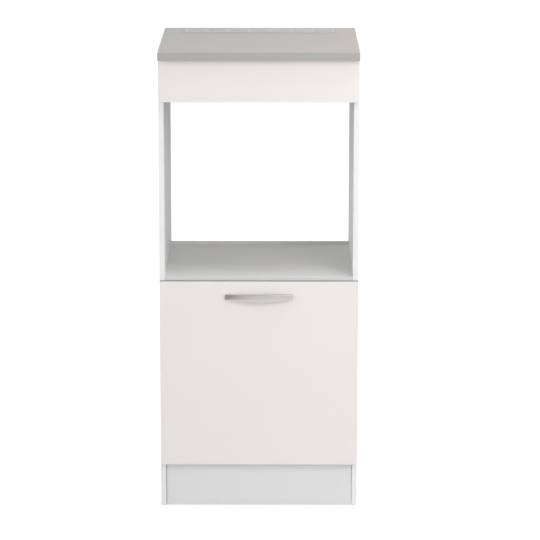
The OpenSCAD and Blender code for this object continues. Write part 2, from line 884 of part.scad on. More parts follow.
module drawer_side_left() {
    mirror([1, 0, 0]) drawer_side();
}

module drawer_inner_front() {
    color(white) difference() {
        centred_board(drawer_inner_w, drawer_back_y, drawer_z, drawer_t, drawer_h);
        centred_board(drawer_inner_w + overcut, drawer_bottom_y, drawer_floor_z,
            drawer_groove_d + overcut, drawer_bottom_t);
        at_box_screws() screw_bore(box_screw_l, screw_r);
        at_front_screws() screw_bore(front_screw_l, screw_r);
    }
}

module drawer_back() {
    color(white) difference() {
        centred_board(drawer_inner_w, drawer_rear_y - drawer_t, drawer_back_z, drawer_t,
            drawer_z + drawer_h - drawer_back_z);
        at_box_screws() screw_bore(box_screw_l, screw_r);
    }
}

module drawer_bottom() {
    color(backing) centred_board(drawer_bottom_w, drawer_bottom_y, drawer_floor_z,
        drawer_bottom_l, drawer_bottom_t);
}

module drawer_box_screws() {
    color(steel) at_box_screws() screw(box_screw_l, screw_r, screw_head_r, box_head_t);
}

module drawer_front_screws() {
    color(steel) at_front_screws() screw(front_screw_l, screw_r, screw_head_r, pan_head_t);
}

side_panel_left();
side_panel_right();
bottom_panel();
niche_shelf();
front_rail();
rear_rail();
plinth_board();
plinth_blocks();
plinth_block_screws();
back_panel();
back_panel_nails();
carcass_edging();
carcass_cams();
carcass_cam_bolts();
carcass_dowels();
glides();
fascia();
fascia_edging();
fascia_screws();
worktop();
worktop_edging();
worktop_brackets();
worktop_bracket_screws();
vent_grille();
channel_left();
channel_right();
channel_screws();
front_roller_left();
front_roller_right();
front_roller_pins();
drawer_runner_left();
drawer_runner_right();
drawer_runner_screws();
rear_roller_left();
rear_roller_right();
rear_roller_pins();
drawer_front();
drawer_front_edging();
front_bumpers();
handle();
handle_screws();
drawer_side_left();
drawer_side_right();
drawer_inner_front();
drawer_back();
drawer_bottom();
drawer_box_screws();
drawer_front_screws();
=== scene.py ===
"""The looks of a microwave cabinet: finishes, worked details, a pale floor and soft light.

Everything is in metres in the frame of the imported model: X to the right, -Y to the front, Z up.
"""

import math

import bmesh
import bpy
from mathutils import Matrix, Vector


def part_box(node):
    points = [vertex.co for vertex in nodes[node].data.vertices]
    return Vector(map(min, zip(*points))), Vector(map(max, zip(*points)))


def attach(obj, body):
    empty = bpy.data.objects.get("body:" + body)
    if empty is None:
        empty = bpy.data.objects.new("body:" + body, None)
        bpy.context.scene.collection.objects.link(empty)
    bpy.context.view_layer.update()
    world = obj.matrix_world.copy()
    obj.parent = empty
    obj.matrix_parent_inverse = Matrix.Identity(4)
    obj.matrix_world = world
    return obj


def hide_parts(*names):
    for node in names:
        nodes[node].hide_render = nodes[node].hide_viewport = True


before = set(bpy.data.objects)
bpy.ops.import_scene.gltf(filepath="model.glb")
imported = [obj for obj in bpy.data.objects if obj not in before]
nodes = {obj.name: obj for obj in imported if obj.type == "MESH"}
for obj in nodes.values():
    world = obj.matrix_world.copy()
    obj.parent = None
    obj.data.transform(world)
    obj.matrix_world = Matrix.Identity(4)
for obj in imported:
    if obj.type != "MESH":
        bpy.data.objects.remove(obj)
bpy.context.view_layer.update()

MM = 0.001

# ---- Colours, as linear values. The whites differ a little from board to board; the plinth and shelf whites also hold painted light, and two edge greys are painted shade ----

CARCASS_WHITE = (0.762, 0.762, 0.762)
CARCASS_EDGE_WHITE = (0.855, 0.855, 0.855)
# Painted shade: a greyer colour for the same edge band where it runs between the side panels
INNER_EDGE_PAINTED_SHADE = (0.68, 0.68, 0.68)
# Painted light: the plinth is the carcass's own melamine, made lighter to stand in for more light on it
PLINTH_WHITE_PAINTED_LIGHT = (0.79, 0.79, 0.79)
# Painted light: the shelf and bottom panel are the carcass's own melamine, made lighter to stand in for
# more light on the shelf
SHELF_WHITE_PAINTED_LIGHT = (0.84, 0.84, 0.84)
LACQUER_WHITE = (0.67, 0.67, 0.67)
FRONT_WHITE = (0.843, 0.811, 0.790)
# Painted shade: the dark gap line above the drawer front, given as colour to the front's top band
FRONT_TOP_PAINTED_SHADE = (0.25, 0.24, 0.234)
WORKTOP_GREY = (0.375, 0.357, 0.342)
WORKTOP_EDGE_GREY = (0.405, 0.401, 0.393)
BOARD_CORE = (0.50, 0.36, 0.22)
BOARD_CORE_DARK = (0.26, 0.165, 0.085)
BACKING_PAPER = (0.62, 0.56, 0.47)
BACKING_PAPER_DARK = (0.56, 0.50, 0.41)
FIBREBOARD = (0.33, 0.205, 0.115)
BEECH = (0.66, 0.46, 0.27)
BEECH_DARK = (0.50, 0.32, 0.17)
ZINC = (0.66, 0.67, 0.69)
NICKEL = (0.50, 0.482, 0.482)
ALUMINIUM = (0.43, 0.43, 0.423)
RUNNER_WHITE = (0.80, 0.80, 0.79)
MOULDED_WHITE = (0.84, 0.84, 0.83)
BUMPER_CLEAR = (0.80, 0.81, 0.80)

# ---- Node helpers ----


class Tree:
    """A node tree, with short ways to add and link its nodes."""

    def __init__(self, owner):
        owner.use_nodes = True
        self.tree = owner.node_tree

    def add(self, kind, **settings):
        node = self.tree.nodes.new(kind)
        for key, value in settings.items():
            setattr(node, key, value)
        return node

    def put(self, value, socket):
        """Links a socket, or sets a number or colour."""
        if isinstance(value, bpy.types.NodeSocket):
            self.tree.links.new(value, socket)
        elif isinstance(value, tuple) and len(value) == 3 and socket.type == "RGBA":
            socket.default_value = (*value, 1)
        else:
            socket.default_value = value

    def math(self, operation, *values):
        node = self.add("ShaderNodeMath", operation=operation)
        for value, socket in zip(values, node.inputs):
            self.put(value, socket)
        return node.outputs[0]


class Look(Tree):
    """A material's node tree, around its Principled shader."""

    # How far a surface has to turn towards an axis to count as facing it
    TOWARDS = 0.6
    # The range that most of a noise lies in
    NOISE_LOW = 0.3
    NOISE_HIGH = 0.7

    def __init__(self, name):
        self.material = bpy.data.materials.new(name)
        super().__init__(self.material)
        self.shader = self.tree.nodes["Principled BSDF"]
        self.place = self.add("ShaderNodeTexCoord").outputs["Object"]

    def stretch(self, scale):
        """The place on the object, scaled by (x, y, z)."""
        node = self.add("ShaderNodeMapping")
        self.put(self.place, node.inputs["Vector"])
        node.inputs["Scale"].default_value = scale
        return node.outputs[0]

    def noise(self, scale, detail=2.0, roughness=0.5, vector=None):
        node = self.add("ShaderNodeTexNoise")
        self.put(self.place if vector is None else vector, node.inputs["Vector"])
        node.inputs["Scale"].default_value = scale
        node.inputs["Detail"].default_value = detail
        node.inputs["Roughness"].default_value = roughness
        return node.outputs["Fac"]

    def cells(self, scale, output="Distance", vector=None):
        node = self.add("ShaderNodeTexVoronoi", feature="F1")
        self.put(self.place if vector is None else vector, node.inputs["Vector"])
        node.inputs["Scale"].default_value = scale
        return node.outputs[output]

    def span(self, value, low, high, to_low=0.0, to_high=1.0):
        """Maps low..high to to_low..to_high, held at both ends."""
        node = self.add("ShaderNodeMapRange", clamp=True)
        for number, socket in zip((value, low, high, to_low, to_high), node.inputs):
            self.put(number, socket)
        return node.outputs[0]

    def spread(self, noise, to_low=0.0, to_high=1.0):
        """Maps what a noise mostly holds to to_low..to_high."""
        return self.span(noise, self.NOISE_LOW, self.NOISE_HIGH, to_low, to_high)

    def mix(self, share, a, b):
        node = self.add("ShaderNodeMix", data_type="RGBA", blend_type="MIX")
        for value, socket in ((share, node.inputs[0]), (a, node.inputs[6]), (b, node.inputs[7])):
            self.put(value, socket)
        return node.outputs[2]

    def either(self, share, one, other):
        """The number one where share is 1, and other where it is 0."""
        return self.math("MULTIPLY_ADD", share, self.math("SUBTRACT", one, other), other)

    def facing_either_way(self, axis):
        """1 on faces that look along axis "X", "Y" or "Z", either way, 0 on the others."""
        return self.math("GREATER_THAN", self.math("ABSOLUTE", self.turned(axis)), self.TOWARDS)

    def facing(self, axis, sign=1, towards=TOWARDS):
        """1 on faces that look along an axis, or against it for a sign of -1."""
        turned = self.math("MULTIPLY", self.turned(axis), sign)
        return self.math("GREATER_THAN", turned, towards)

    def turned(self, axis):
        """The part of the surface's direction along an axis."""
        node = self.add("ShaderNodeSeparateXYZ")
        coordinate = self.add("ShaderNodeTexCoord")
        self.put(coordinate.outputs["Normal"], node.inputs[0])
        return node.outputs[axis]

    def bump(self, height, strength, depth):
        node = self.add("ShaderNodeBump")
        node.inputs["Strength"].default_value = strength
        node.inputs["Distance"].default_value = depth
        self.put(height, node.inputs["Height"])
        return node.outputs[0]

    def finish(self, colour, roughness, normal=None, **numbers):
        self.put(colour, self.shader.inputs["Base Color"])
        self.put(roughness, self.shader.inputs["Roughness"])
        if normal is not None:
            self.put(normal, self.shader.inputs["Normal"])
        for name, value in numbers.items():
            self.shader.inputs[name.replace("_", " ")].default_value = value
        return self.material


def shade(colour, factor):
    return tuple(channel * factor for channel in colour)


# ---- Materials ----

CORE_ROUGHNESS = 0.85
BARE_ROUGHNESS = 0.82
BAND_TOWARDS = 0.8


def chipboard_core(look):
    """Pressed wood chips, as a cut edge shows them: (colour, height)."""
    chips = look.cells(420, "Color")
    tone = look.math("MULTIPLY_ADD", look.noise(90, 3), 0.6, 0.2)
    colour = look.mix(tone, BOARD_CORE, shade(BOARD_CORE, 0.72))
    grain = look.add("ShaderNodeSeparateColor")
    look.put(chips, grain.inputs[0])
    colour = look.mix(look.span(grain.outputs[0], 0.62, 0.9), colour, BOARD_CORE_DARK)
    colour = look.mix(look.span(grain.outputs[1], 0.75, 0.95), colour, shade(BOARD_CORE, 1.45))
    return colour, look.cells(420)


def faced_board(name, face, thickness_axis, roughness=0.58):
    """Melamine with a fine pearl on a board's faces. The cut edges show the chipboard.
    thickness_axis is None for a board that is foiled all round."""
    look = Look(name)
    pearl = look.noise(1400, 2, 0.6)
    drift = look.noise(4, 2)
    colour = look.mix(look.spread(drift), shade(face, 0.992), shade(face, 1.006))
    colour = look.mix(look.span(pearl, 0.35, 0.7, 0, 0.35), colour, shade(face, 0.965))
    rough = look.spread(pearl, roughness - 0.05, roughness + 0.07)
    if thickness_axis is None:
        return look.finish(colour, rough, look.bump(pearl, 0.10, 0.12 * MM), IOR=1.5,
                           Specular_IOR_Level=0.3)
    on_face = look.facing_either_way(thickness_axis)
    core, core_height = chipboard_core(look)
    colour = look.mix(on_face, core, colour)
    rough = look.either(on_face, rough, CORE_ROUGHNESS)
    height = look.either(on_face, look.math("MULTIPLY", pearl, 0.12), core_height)
    return look.finish(colour, rough, look.bump(height, 0.5, 0.25 * MM), IOR=1.5,
                       Specular_IOR_Level=0.3)


def edge_band(name, colour, roughness=0.46, up=None, inner=None, inner_reach=0.0):
    """Extruded plastic band: smooth, with faint lines along its run from the extruder.
    The bands on top, and those within a reach of the middle, can have a darker colour of their own,
    which is painted shade."""
    look = Look(name)
    run = look.noise(1, 2, 0.5, look.stretch((500, 500, 500)))
    tone = look.spread(look.noise(30, 2))

    def tint(band):
        return look.mix(tone, shade(band, 0.99), shade(band, 1.008))

    tinted = tint(colour)
    # Painted shade: a darker colour on the top-facing bands
    if up is not None:
        tinted = look.mix(look.facing("Z", towards=BAND_TOWARDS), tinted, tint(up))
    # Painted shade: a darker colour on the bands near the middle
    if inner is not None:
        across = look.add("ShaderNodeSeparateXYZ")
        look.put(look.place, across.inputs[0])
        within = look.math("LESS_THAN", look.math("ABSOLUTE", across.outputs[0]), inner_reach)
        tinted = look.mix(within, tinted, tint(inner))
    return look.finish(tinted, look.spread(run, roughness - 0.04, roughness + 0.05),
                       look.bump(run, 0.06, 0.08 * MM), IOR=1.48, Specular_IOR_Level=0.35)


def worktop_laminate():
    """Grey laminate with a fine mineral grain on top, a paper backing below, and the bare
    board on the back edge and in the cut-out."""
    look = Look("worktop_laminate")
    grain = look.noise(900, 4, 0.65)
    cloud = look.noise(7, 3, 0.55)
    fleck = look.cells(1500)
    colour = look.mix(look.spread(cloud), shade(WORKTOP_GREY, 0.985), shade(WORKTOP_GREY, 1.015))
    colour = look.mix(look.span(grain, 0.42, 0.68, 0, 0.5), colour, shade(WORKTOP_GREY, 0.93))
    colour = look.mix(look.span(fleck, 0.0, 0.16, 0.35, 0), colour, shade(WORKTOP_GREY, 1.10))
    top_rough = look.spread(grain, 0.46, 0.58)
    up = look.facing("Z")
    core, core_height = chipboard_core(look)
    paper = look.mix(look.spread(look.noise(60, 4)), BACKING_PAPER, BACKING_PAPER_DARK)
    colour = look.mix(look.facing("Z", -1), look.mix(up, core, colour), paper)
    rough = look.either(up, top_rough, CORE_ROUGHNESS)
    height = look.either(up, look.math("MULTIPLY", grain, 0.25), core_height)
    return look.finish(colour, rough, look.bump(height, 0.4, 0.2 * MM), IOR=1.5,
                       Specular_IOR_Level=0.35)


def lacquered_fibreboard(name, face_axis, face_sign):
    """Thin fibreboard, white lacquered on one face and bare brown on the other."""
    look = Look(name)
    lacquer = look.mix(look.spread(look.noise(8, 2)), shade(LACQUER_WHITE, 0.98), LACQUER_WHITE)
    fibre = look.noise(700, 5, 0.7)
    bare = look.mix(look.spread(look.noise(35, 4, 0.6)), FIBREBOARD, shade(FIBREBOARD, 1.25))
    bare = look.mix(look.span(fibre, 0.5, 0.75, 0, 0.5), bare, shade(FIBREBOARD, 0.6))
    side = look.facing(face_axis, face_sign)
    rough = look.either(side, look.spread(fibre, 0.45, 0.52), BARE_ROUGHNESS)
    return look.finish(look.mix(side, bare, lacquer), rough, look.bump(fibre, 0.25, 0.15 * MM), IOR=1.5)


def zinc_plated():
    """Bright zinc: small crystals, soft streaks and a little dulling."""
    look = Look("zinc_plated")
    crystal = look.noise(1800, 3, 0.6)
    dull = look.noise(60, 3)
    colour = look.mix(look.spread(dull), shade(ZINC, 0.92), shade(ZINC, 1.05))
    return look.finish(colour, look.spread(crystal, 0.26, 0.42), look.bump(crystal, 0.08, 0.05 * MM),
                       Metallic=1.0)


def brushed_nickel():
    """Nickel with brush lines along the handle."""
    look = Look("brushed_nickel")
    lines = look.noise(1, 3, 0.7, look.stretch((60, 5200, 5200)))
    long_lines = look.noise(1, 2, 0.5, look.stretch((14, 1900, 1900)))
    colour = look.mix(look.spread(lines), shade(NICKEL, 0.95), shade(NICKEL, 1.05))
    colour = look.mix(look.spread(long_lines, 0, 0.5), colour, shade(NICKEL, 0.96))
    return look.finish(colour, look.spread(lines, 0.27, 0.40), look.bump(lines, 0.12, 0.04 * MM),
                       Metallic=1.0, Anisotropic=0.35)


def anodised_aluminium():
    """Satin anodised aluminium with fine lines along the grille."""
    look = Look("anodised_aluminium")
    lines = look.noise(1, 3, 0.6, look.stretch((40, 3600, 3600)))
    cloud = look.noise(25, 2)
    colour = look.mix(look.spread(lines), shade(ALUMINIUM, 0.95), shade(ALUMINIUM, 1.03))
    colour = look.mix(look.spread(cloud, 0, 0.4), colour, shade(ALUMINIUM, 0.97))
    return look.finish(colour, look.spread(lines, 0.38, 0.52), look.bump(lines, 0.10, 0.04 * MM),
                       Metallic=0.85)


def epoxy_coat():
    """White powder coat with its fine orange peel."""
    look = Look("epoxy_coat")
    peel = look.noise(650, 2, 0.4)
    colour = look.mix(look.spread(look.noise(20, 2)), shade(RUNNER_WHITE, 0.98),
                      shade(RUNNER_WHITE, 1.01))
    return look.finish(colour, look.spread(peel, 0.28, 0.36), look.bump(peel, 0.18, 0.1 * MM), IOR=1.5)


def moulded_plastic(name, colour, roughness, translucent=0.0):
    """Moulded plastic with a fine spark-eroded grain."""
    look = Look(name)
    grain = look.noise(1600, 3, 0.55)
    tint = look.mix(look.spread(look.noise(40, 2)), shade(colour, 0.98), shade(colour, 1.01))
    return look.finish(tint, look.spread(grain, roughness - 0.05, roughness + 0.06),
                       look.bump(grain, 0.10, 0.05 * MM), IOR=1.49, Transmission_Weight=translucent)


def beech_wood():
    """Beech with its grain and short rays along the dowel."""
    look = Look("beech_wood")
    grain = look.noise(1, 4, 0.6, look.stretch((60, 900, 900)))
    rays = look.cells(1, "Distance", look.stretch((300, 1800, 1800)))
    colour = look.mix(look.spread(grain), BEECH, BEECH_DARK)
    colour = look.mix(look.span(rays, 0.0, 0.12, 0.6, 0), colour, shade(BEECH_DARK, 0.7))
    return look.finish(colour, 0.62, look.bump(grain, 0.3, 0.1 * MM), IOR=1.5)


# Half the width between the side panels
HALF_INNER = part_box("niche_shelf")[1][0]

MATERIALS = {
    "carcass_x": faced_board("carcass_board_x", CARCASS_WHITE, "X"),
    "carcass_y": faced_board("carcass_board_y", CARCASS_WHITE, "Y"),
    # The level boards take a lighter white of the same melamine, as painted light
    "carcass_z_painted_light": faced_board("carcass_board_z_painted_light", SHELF_WHITE_PAINTED_LIGHT, "Z"),
    "drawer_board": faced_board("drawer_board", CARCASS_WHITE, None),
    "front": faced_board("front_board", FRONT_WHITE, "Y", 0.50),
    # The plinth takes a lighter white of the carcass melamine, as painted light
    "plinth": faced_board("plinth_board", PLINTH_WHITE_PAINTED_LIGHT, "Y"),
    # The carcass bands between the side panels take painted shade; the side panels' bands keep their
    # own white
    "carcass_band_and_shade": edge_band("carcass_edge_band_and_shade", CARCASS_EDGE_WHITE, inner=INNER_EDGE_PAINTED_SHADE,
                              inner_reach=HALF_INNER),
    "front_band": edge_band("front_edge_band", FRONT_WHITE),
    # The drawer front's top band takes painted shade, which stands in for the shadowed gap above it
    "drawer_front_band_and_shade": edge_band("drawer_front_edge_band_and_shade", FRONT_WHITE, up=FRONT_TOP_PAINTED_SHADE),
    "worktop": worktop_laminate(),
    "worktop_band": edge_band("worktop_edge_band", WORKTOP_EDGE_GREY, 0.40),
    "back": lacquered_fibreboard("back_fibreboard", "Y", -1),
    "drawer_base": lacquered_fibreboard("drawer_fibreboard", "Z", 1),
    "zinc": zinc_plated(),
    "nickel": brushed_nickel(),
    "aluminium": anodised_aluminium(),
    "epoxy": epoxy_coat(),
    "roller": moulded_plastic("roller_acetal", MOULDED_WHITE, 0.32),
    "moulded": moulded_plastic("moulded_white", MOULDED_WHITE, 0.45),
    "bumper": moulded_plastic("bumper_clear", BUMPER_CLEAR, 0.30, 0.6),
    "beech": beech_wood(),
}

FINISHES = {
    "side_panel_left": "carcass_x", "side_panel_right": "carcass_x",
    "bottom_panel": "carcass_z_painted_light", "niche_shelf": "carcass_z_painted_light",
    "front_rail": "carcass_y", "rear_rail": "carcass_y", "plinth_board": "plinth",
    "back_panel": "back", "drawer_bottom": "drawer_base",
    "carcass_edging": "carcass_band_and_shade", "fascia_edging": "front_band",
    "drawer_front_edging": "drawer_front_band_and_shade", "fascia": "front", "drawer_front": "front",
    "worktop": "worktop", "worktop_edging": "worktop_band", "vent_grille": "aluminium",
    "handle": "nickel", "carcass_dowels": "beech", "front_bumpers": "bumper",
    "plinth_blocks": "moulded", "glides": "moulded",
    "drawer_side_left": "drawer_board", "drawer_side_right": "drawer_board",
    "drawer_inner_front": "drawer_board", "drawer_back": "drawer_board",
    "channel_left": "epoxy", "channel_right": "epoxy",
    "drawer_runner_left": "epoxy", "drawer_runner_right": "epoxy",
    "front_roller_left": "roller", "front_roller_right": "roller",
    "rear_roller_left": "roller", "rear_roller_right": "roller",
}

for name, node in nodes.items():
    node.data.materials.clear()
    node.data.materials.append(MATERIALS[FINISHES.get(name, "zinc")])

# ---- Shapes made here ----

SAME_CORNER = 0.001 * MM


def new_object(name, data):
    """An object in the scene, with its mesh, lamp or camera."""
    thing = bpy.data.objects.new(name, data)
    bpy.context.scene.collection.objects.link(thing)
    return thing


class Shape:
    """Corners and faces of one mesh, gathered part by part."""

    def __init__(self):
        self.corners = []
        self.faces = []

    def add(self, corners, faces, place=Matrix()):
        first = len(self.corners)
        self.corners += [place @ Vector(corner) for corner in corners]
        self.faces += [[first + index for index in face] for face in faces]

    def skin(self, rings, place=Matrix(), closed=False):
        """Faces from each ring of corners to the next. The ends are capped, or joined up."""
        count, levels = len(rings[0]), len(rings)
        faces = []
        for level in range(levels if closed else levels - 1):
            here, there = level * count, (level + 1) % levels * count
            for index in range(count):
                after = (index + 1) % count
                faces.append((here + index, here + after, there + after, there + index))
        if not closed:
            faces += [range(count), range((levels - 1) * count, levels * count)]
        self.add([corner for ring in rings for corner in ring], faces, place)

    def turn(self, profile, place=Matrix(), sides=32):
        """A profile of (radius, height), turned around Z."""
        turns = [2 * math.pi * side / sides for side in range(sides)]
        self.skin([[(radius * math.cos(turn), radius * math.sin(turn), height) for turn in turns]
                   for radius, height in profile], place)

    def hoop(self, profile, place=Matrix(), sides=48):
        """A closed outline of (radius, height), turned around Z."""
        turns = [2 * math.pi * side / sides for side in range(sides)]
        self.skin([[(radius * math.cos(turn), radius * math.sin(turn), height)
                    for radius, height in profile] for turn in turns], place, closed=True)

    def plate(self, xs, ys, is_open, low, high):
        """A level plate on a grid of lines, with the open cells left out."""
        columns, rows = len(xs) - 1, len(ys) - 1

        def filled(i, j):
            return 0 <= i < columns and 0 <= j < rows and not is_open(i, j)

        for i in range(columns):
            for j in range(rows):
                if not filled(i, j):
                    continue
                x0, x1, y0, y1 = xs[i], xs[i + 1], ys[j], ys[j + 1]
                for z in (low, high):
                    self.add([(x0, y0, z), (x1, y0, z), (x1, y1, z), (x0, y1, z)], [range(4)])
                sides = (((i, j - 1), (x0, y0), (x1, y0)), ((i, j + 1), (x0, y1), (x1, y1)),
                         ((i - 1, j), (x0, y0), (x0, y1)), ((i + 1, j), (x1, y0), (x1, y1)))
                for beside, start, end in sides:
                    if not filled(*beside):
                        self.add([(*start, low), (*end, low), (*end, high), (*start, high)],
                                 [range(4)])

    def piece(self, name, finish, body, replaced, smooth_below=32):
        """The mesh as one named piece of the model."""
        mesh = bpy.data.meshes.new(name)
        mesh.from_pydata(self.corners, [], self.faces)
        edit = bmesh.new()
        edit.from_mesh(mesh)
        bmesh.ops.remove_doubles(edit, verts=edit.verts, dist=SAME_CORNER)
        bmesh.ops.recalc_face_normals(edit, faces=edit.faces)
        edit.to_mesh(mesh)
        edit.free()
        mesh.polygons.foreach_set("use_smooth", [True] * len(mesh.polygons))
        mesh.set_sharp_from_angle(angle=math.radians(smooth_below))
        mesh.materials.append(MATERIALS[finish])
        thing = new_object(name, mesh)
        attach(thing, body)
        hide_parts(*replaced)
        return thing


LONGEST_ROUND = 0.45


def eased(corners, radii, steps=4):
    """A closed outline whose corners are rounded off by the given lengths, at most by
    LONGEST_ROUND of the sides beside them."""
    outline = []
    count = len(corners)
    for index, corner in enumerate(corners):
        before, after = corners[index - 1], corners[(index + 1) % count]
        reach = min(radii[index], LONGEST_ROUND * math.dist(corner, before),
                    LONGEST_ROUND * math.dist(corner, after))
        if radii[index] == 0:
            outline += [corner] * (steps + 1)
            continue
        start, end = (Vector(corner) + (Vector(other) - Vector(corner)).normalized() * reach
                      for other in (before, after))
        for step in range(steps + 1):
            on = step / steps
            outline.append(tuple(start * (1 - on) ** 2 + Vector(corner) * 2 * on * (1 - on)
                                 + end * on ** 2))
    return outline


SHARP_ANGLE = math.radians(50)


def rounded(thing, width, segments=3):
    """Rounds the sharp edges of a thing, inside its own shape."""
    bevel = thing.modifiers.new("round", "BEVEL")
    bevel.width = width
    bevel.segments = segments
    bevel.limit_method = "ANGLE"
    bevel.angle_limit = SHARP_ANGLE
    bevel.harden_normals = True


# ---- Handle ----

HANDLE_END_DEPTH = 8 * MM
HANDLE_GRIP = 6 * MM
HANDLE_TOP_RISE = 3.1 * MM
HANDLE_BELLY = 7.1 * MM
FACET_HEIGHT = 9.3 * MM
FACET_DEPTH = 3 * MM
HANDLE_FOOT = 18 * MM
HANDLE_FILLET = 4 * MM
HANDLE_EDGE = 1.6 * MM
HANDLE_END_EDGE = 1.4 * MM
HANDLE_STATIONS = 40
HANDLE_TURN_STEPS = 6


def sag(half, rise, x):
    """How far a bow of a half length and a rise falls short of its middle at x."""
    radius = (half ** 2 + rise ** 2) / (2 * rise)
    return radius - math.sqrt(radius ** 2 - x ** 2)


def handle_section(x, half, out, height, back, inset):
    """The outline at x, as (x, -depth, height): lower facet, face, top and inner side."""
    reach = min(abs(x), half)
    belly = sag(half, HANDLE_BELLY, reach)
    bottom = belly + inset
    top = height - sag(half, HANDLE_TOP_RISE, reach) - inset
    face = out - sag(half, out - HANDLE_END_DEPTH, reach) - inset
    share = belly / HANDLE_BELLY
    crease = FACET_HEIGHT + (HANDLE_BELLY - FACET_HEIGHT) * share
    foot = face - FACET_DEPTH * (crease - belly) / FACET_HEIGHT
    inner = face - HANDLE_GRIP if back is None else back
    inner_edge = 0 if inner == 0 else HANDLE_EDGE
    corners = [(foot, bottom), (face, max(crease, bottom)), (face, top), (inner, top),
               (inner, bottom)]
    radii = (HANDLE_EDGE, HANDLE_EDGE, HANDLE_EDGE, inner_edge, inner_edge)
    return [(x, -depth, level) for depth, level in eased(corners, radii)]


def make_handle():
    """A bowed grip with a crescent facet along its lower edge, rounded into its two feet."""
    low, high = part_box("handle")
    half, out, height = high[0], high[1] - low[1], high[2] - low[2]
    inner_x = half - HANDLE_FOOT
    grip_x = inner_x - HANDLE_FILLET
    grip_back = out - sag(half, out - HANDLE_END_DEPTH, inner_x) - HANDLE_GRIP
    stations = []
    for step in range(HANDLE_TURN_STEPS + 1):
        turn = math.pi / 2 * (1 - step / HANDLE_TURN_STEPS)
        stations.append((half - HANDLE_END_EDGE * (1 - math.sin(turn)), 0,
                         HANDLE_END_EDGE * (1 - math.cos(turn))))
    stations += [(inner_x + (half - HANDLE_END_EDGE - inner_x) * share, 0, 0)
                 for share in (0.75, 0.5, 0.25, 0)]
    for step in range(HANDLE_TURN_STEPS + 1):
        turn = math.pi / 2 * step / HANDLE_TURN_STEPS
        fall = HANDLE_FILLET * (1 - math.sin(turn))
        stations.append((grip_x + HANDLE_FILLET * math.cos(turn), grip_back - fall, 0))
    middle = [(grip_x * (1 - 2 * step / HANDLE_STATIONS), None, 0)
              for step in range(1, HANDLE_STATIONS)]
    both = stations + middle + [(-x, back, inset) for x, back, inset in reversed(stations)]
    shape = Shape()
    shape.skin([handle_section(x, half, out, height, back, inset) for x, back, inset in both],
               Matrix.Translation((0, high[1], low[2])))
    shape.piece("bow_handle", "nickel", "drawer", ["handle"], 24)


make_handle()

# ---- Ventilation grille ----

GRILLE_RIM = 11 * MM
GRILLE_FRONT = 20 * MM
GRILLE_FLANGE = 2 * MM
GRILLE_SKIRT = 1.5 * MM
SLOT_GROUPS = 7
GROUP_BAR = 9.5 * MM
BAR_GROOVE = 1.0 * MM
SLOT_ROWS = 5
SLOT_WIDTH = 4 * MM
SLAT_TILT = math.radians(14)
SLAT_THICKNESS = 1.4 * MM
GRILLE_EDGE = 0.6 * MM


def make_grille():
    """A rounded flange with seven openings, each crossed by four tilted slats."""
    low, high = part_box("vent_grille")
    flange_low = high[2] - GRILLE_FLANGE
    slots_x, slots_y = high[0] - GRILLE_RIM, low[1] + GRILLE_FRONT
    slots_depth = high[1] - GRILLE_RIM - slots_y
    group = (2 * slots_x - (SLOT_GROUPS - 1) * GROUP_BAR) / SLOT_GROUPS
    step = slots_depth / SLOT_ROWS
    margin = (step - SLOT_WIDTH) / 2
    starts = [-slots_x + index * (group + GROUP_BAR) for index in range(SLOT_GROUPS)]
    bars = [start - GROUP_BAR / 2 for start in starts[1:]]
    xs = sorted([low[0], high[0]] + bars + [x for start in starts for x in (start, start + group)])
    ys = [low[1], slots_y + margin, slots_y + slots_depth - margin, high[1]]
    shape = Shape()
    shape.plate(xs, ys, lambda i, j: j == 1 and xs[i] in starts, flange_low, high[2])
    for corner in shape.corners:
        if corner.x in bars and corner.z == high[2] and low[1] < corner.y < high[1]:
            corner.z -= BAR_GROOVE
    wall = GRILLE_SKIRT
    skirt_xs = [-slots_x - wall, -slots_x, slots_x, slots_x + wall]
    skirt_ys = [slots_y - wall, slots_y, slots_y + slots_depth, slots_y + slots_depth + wall]
    shape.plate(skirt_xs, skirt_ys, lambda i, j: i == 1 and j == 1, low[2], flange_low)
    flange = shape.piece("grille_flange", "aluminium", "cabinet", ["vent_grille"])
    rounded(flange, GRILLE_EDGE)
    slats = Shape()
    half_width, half_thickness = (step - SLOT_WIDTH) / 2, SLAT_THICKNESS / 2
    section = eased([(-half_width, -half_thickness), (half_width, -half_thickness),
                     (half_width, half_thickness), (-half_width, half_thickness)], [GRILLE_EDGE] * 4)
    drop = half_width * math.sin(SLAT_TILT) + half_thickness
    tilt = Matrix.Rotation(SLAT_TILT, 4, "X")
    for start in starts:
        for row in range(1, SLOT_ROWS):
            place = Matrix.Translation((start, slots_y + row * step, high[2] - drop))
            slats.skin([[(x, y, z) for y, z in section] for x in (0, group)], place @ tilt)
    slats.piece("grille_slats", "aluminium", "cabinet", ["vent_grille"])


make_grille()

# ---- Rollers ----

BORE_RADIUS = 3.15 * MM
HUB_RADIUS = 5.2 * MM
RIM_WALL = 2.2 * MM
WEB_RECESS = 1.2 * MM
ROLLER_EDGE = 0.5 * MM


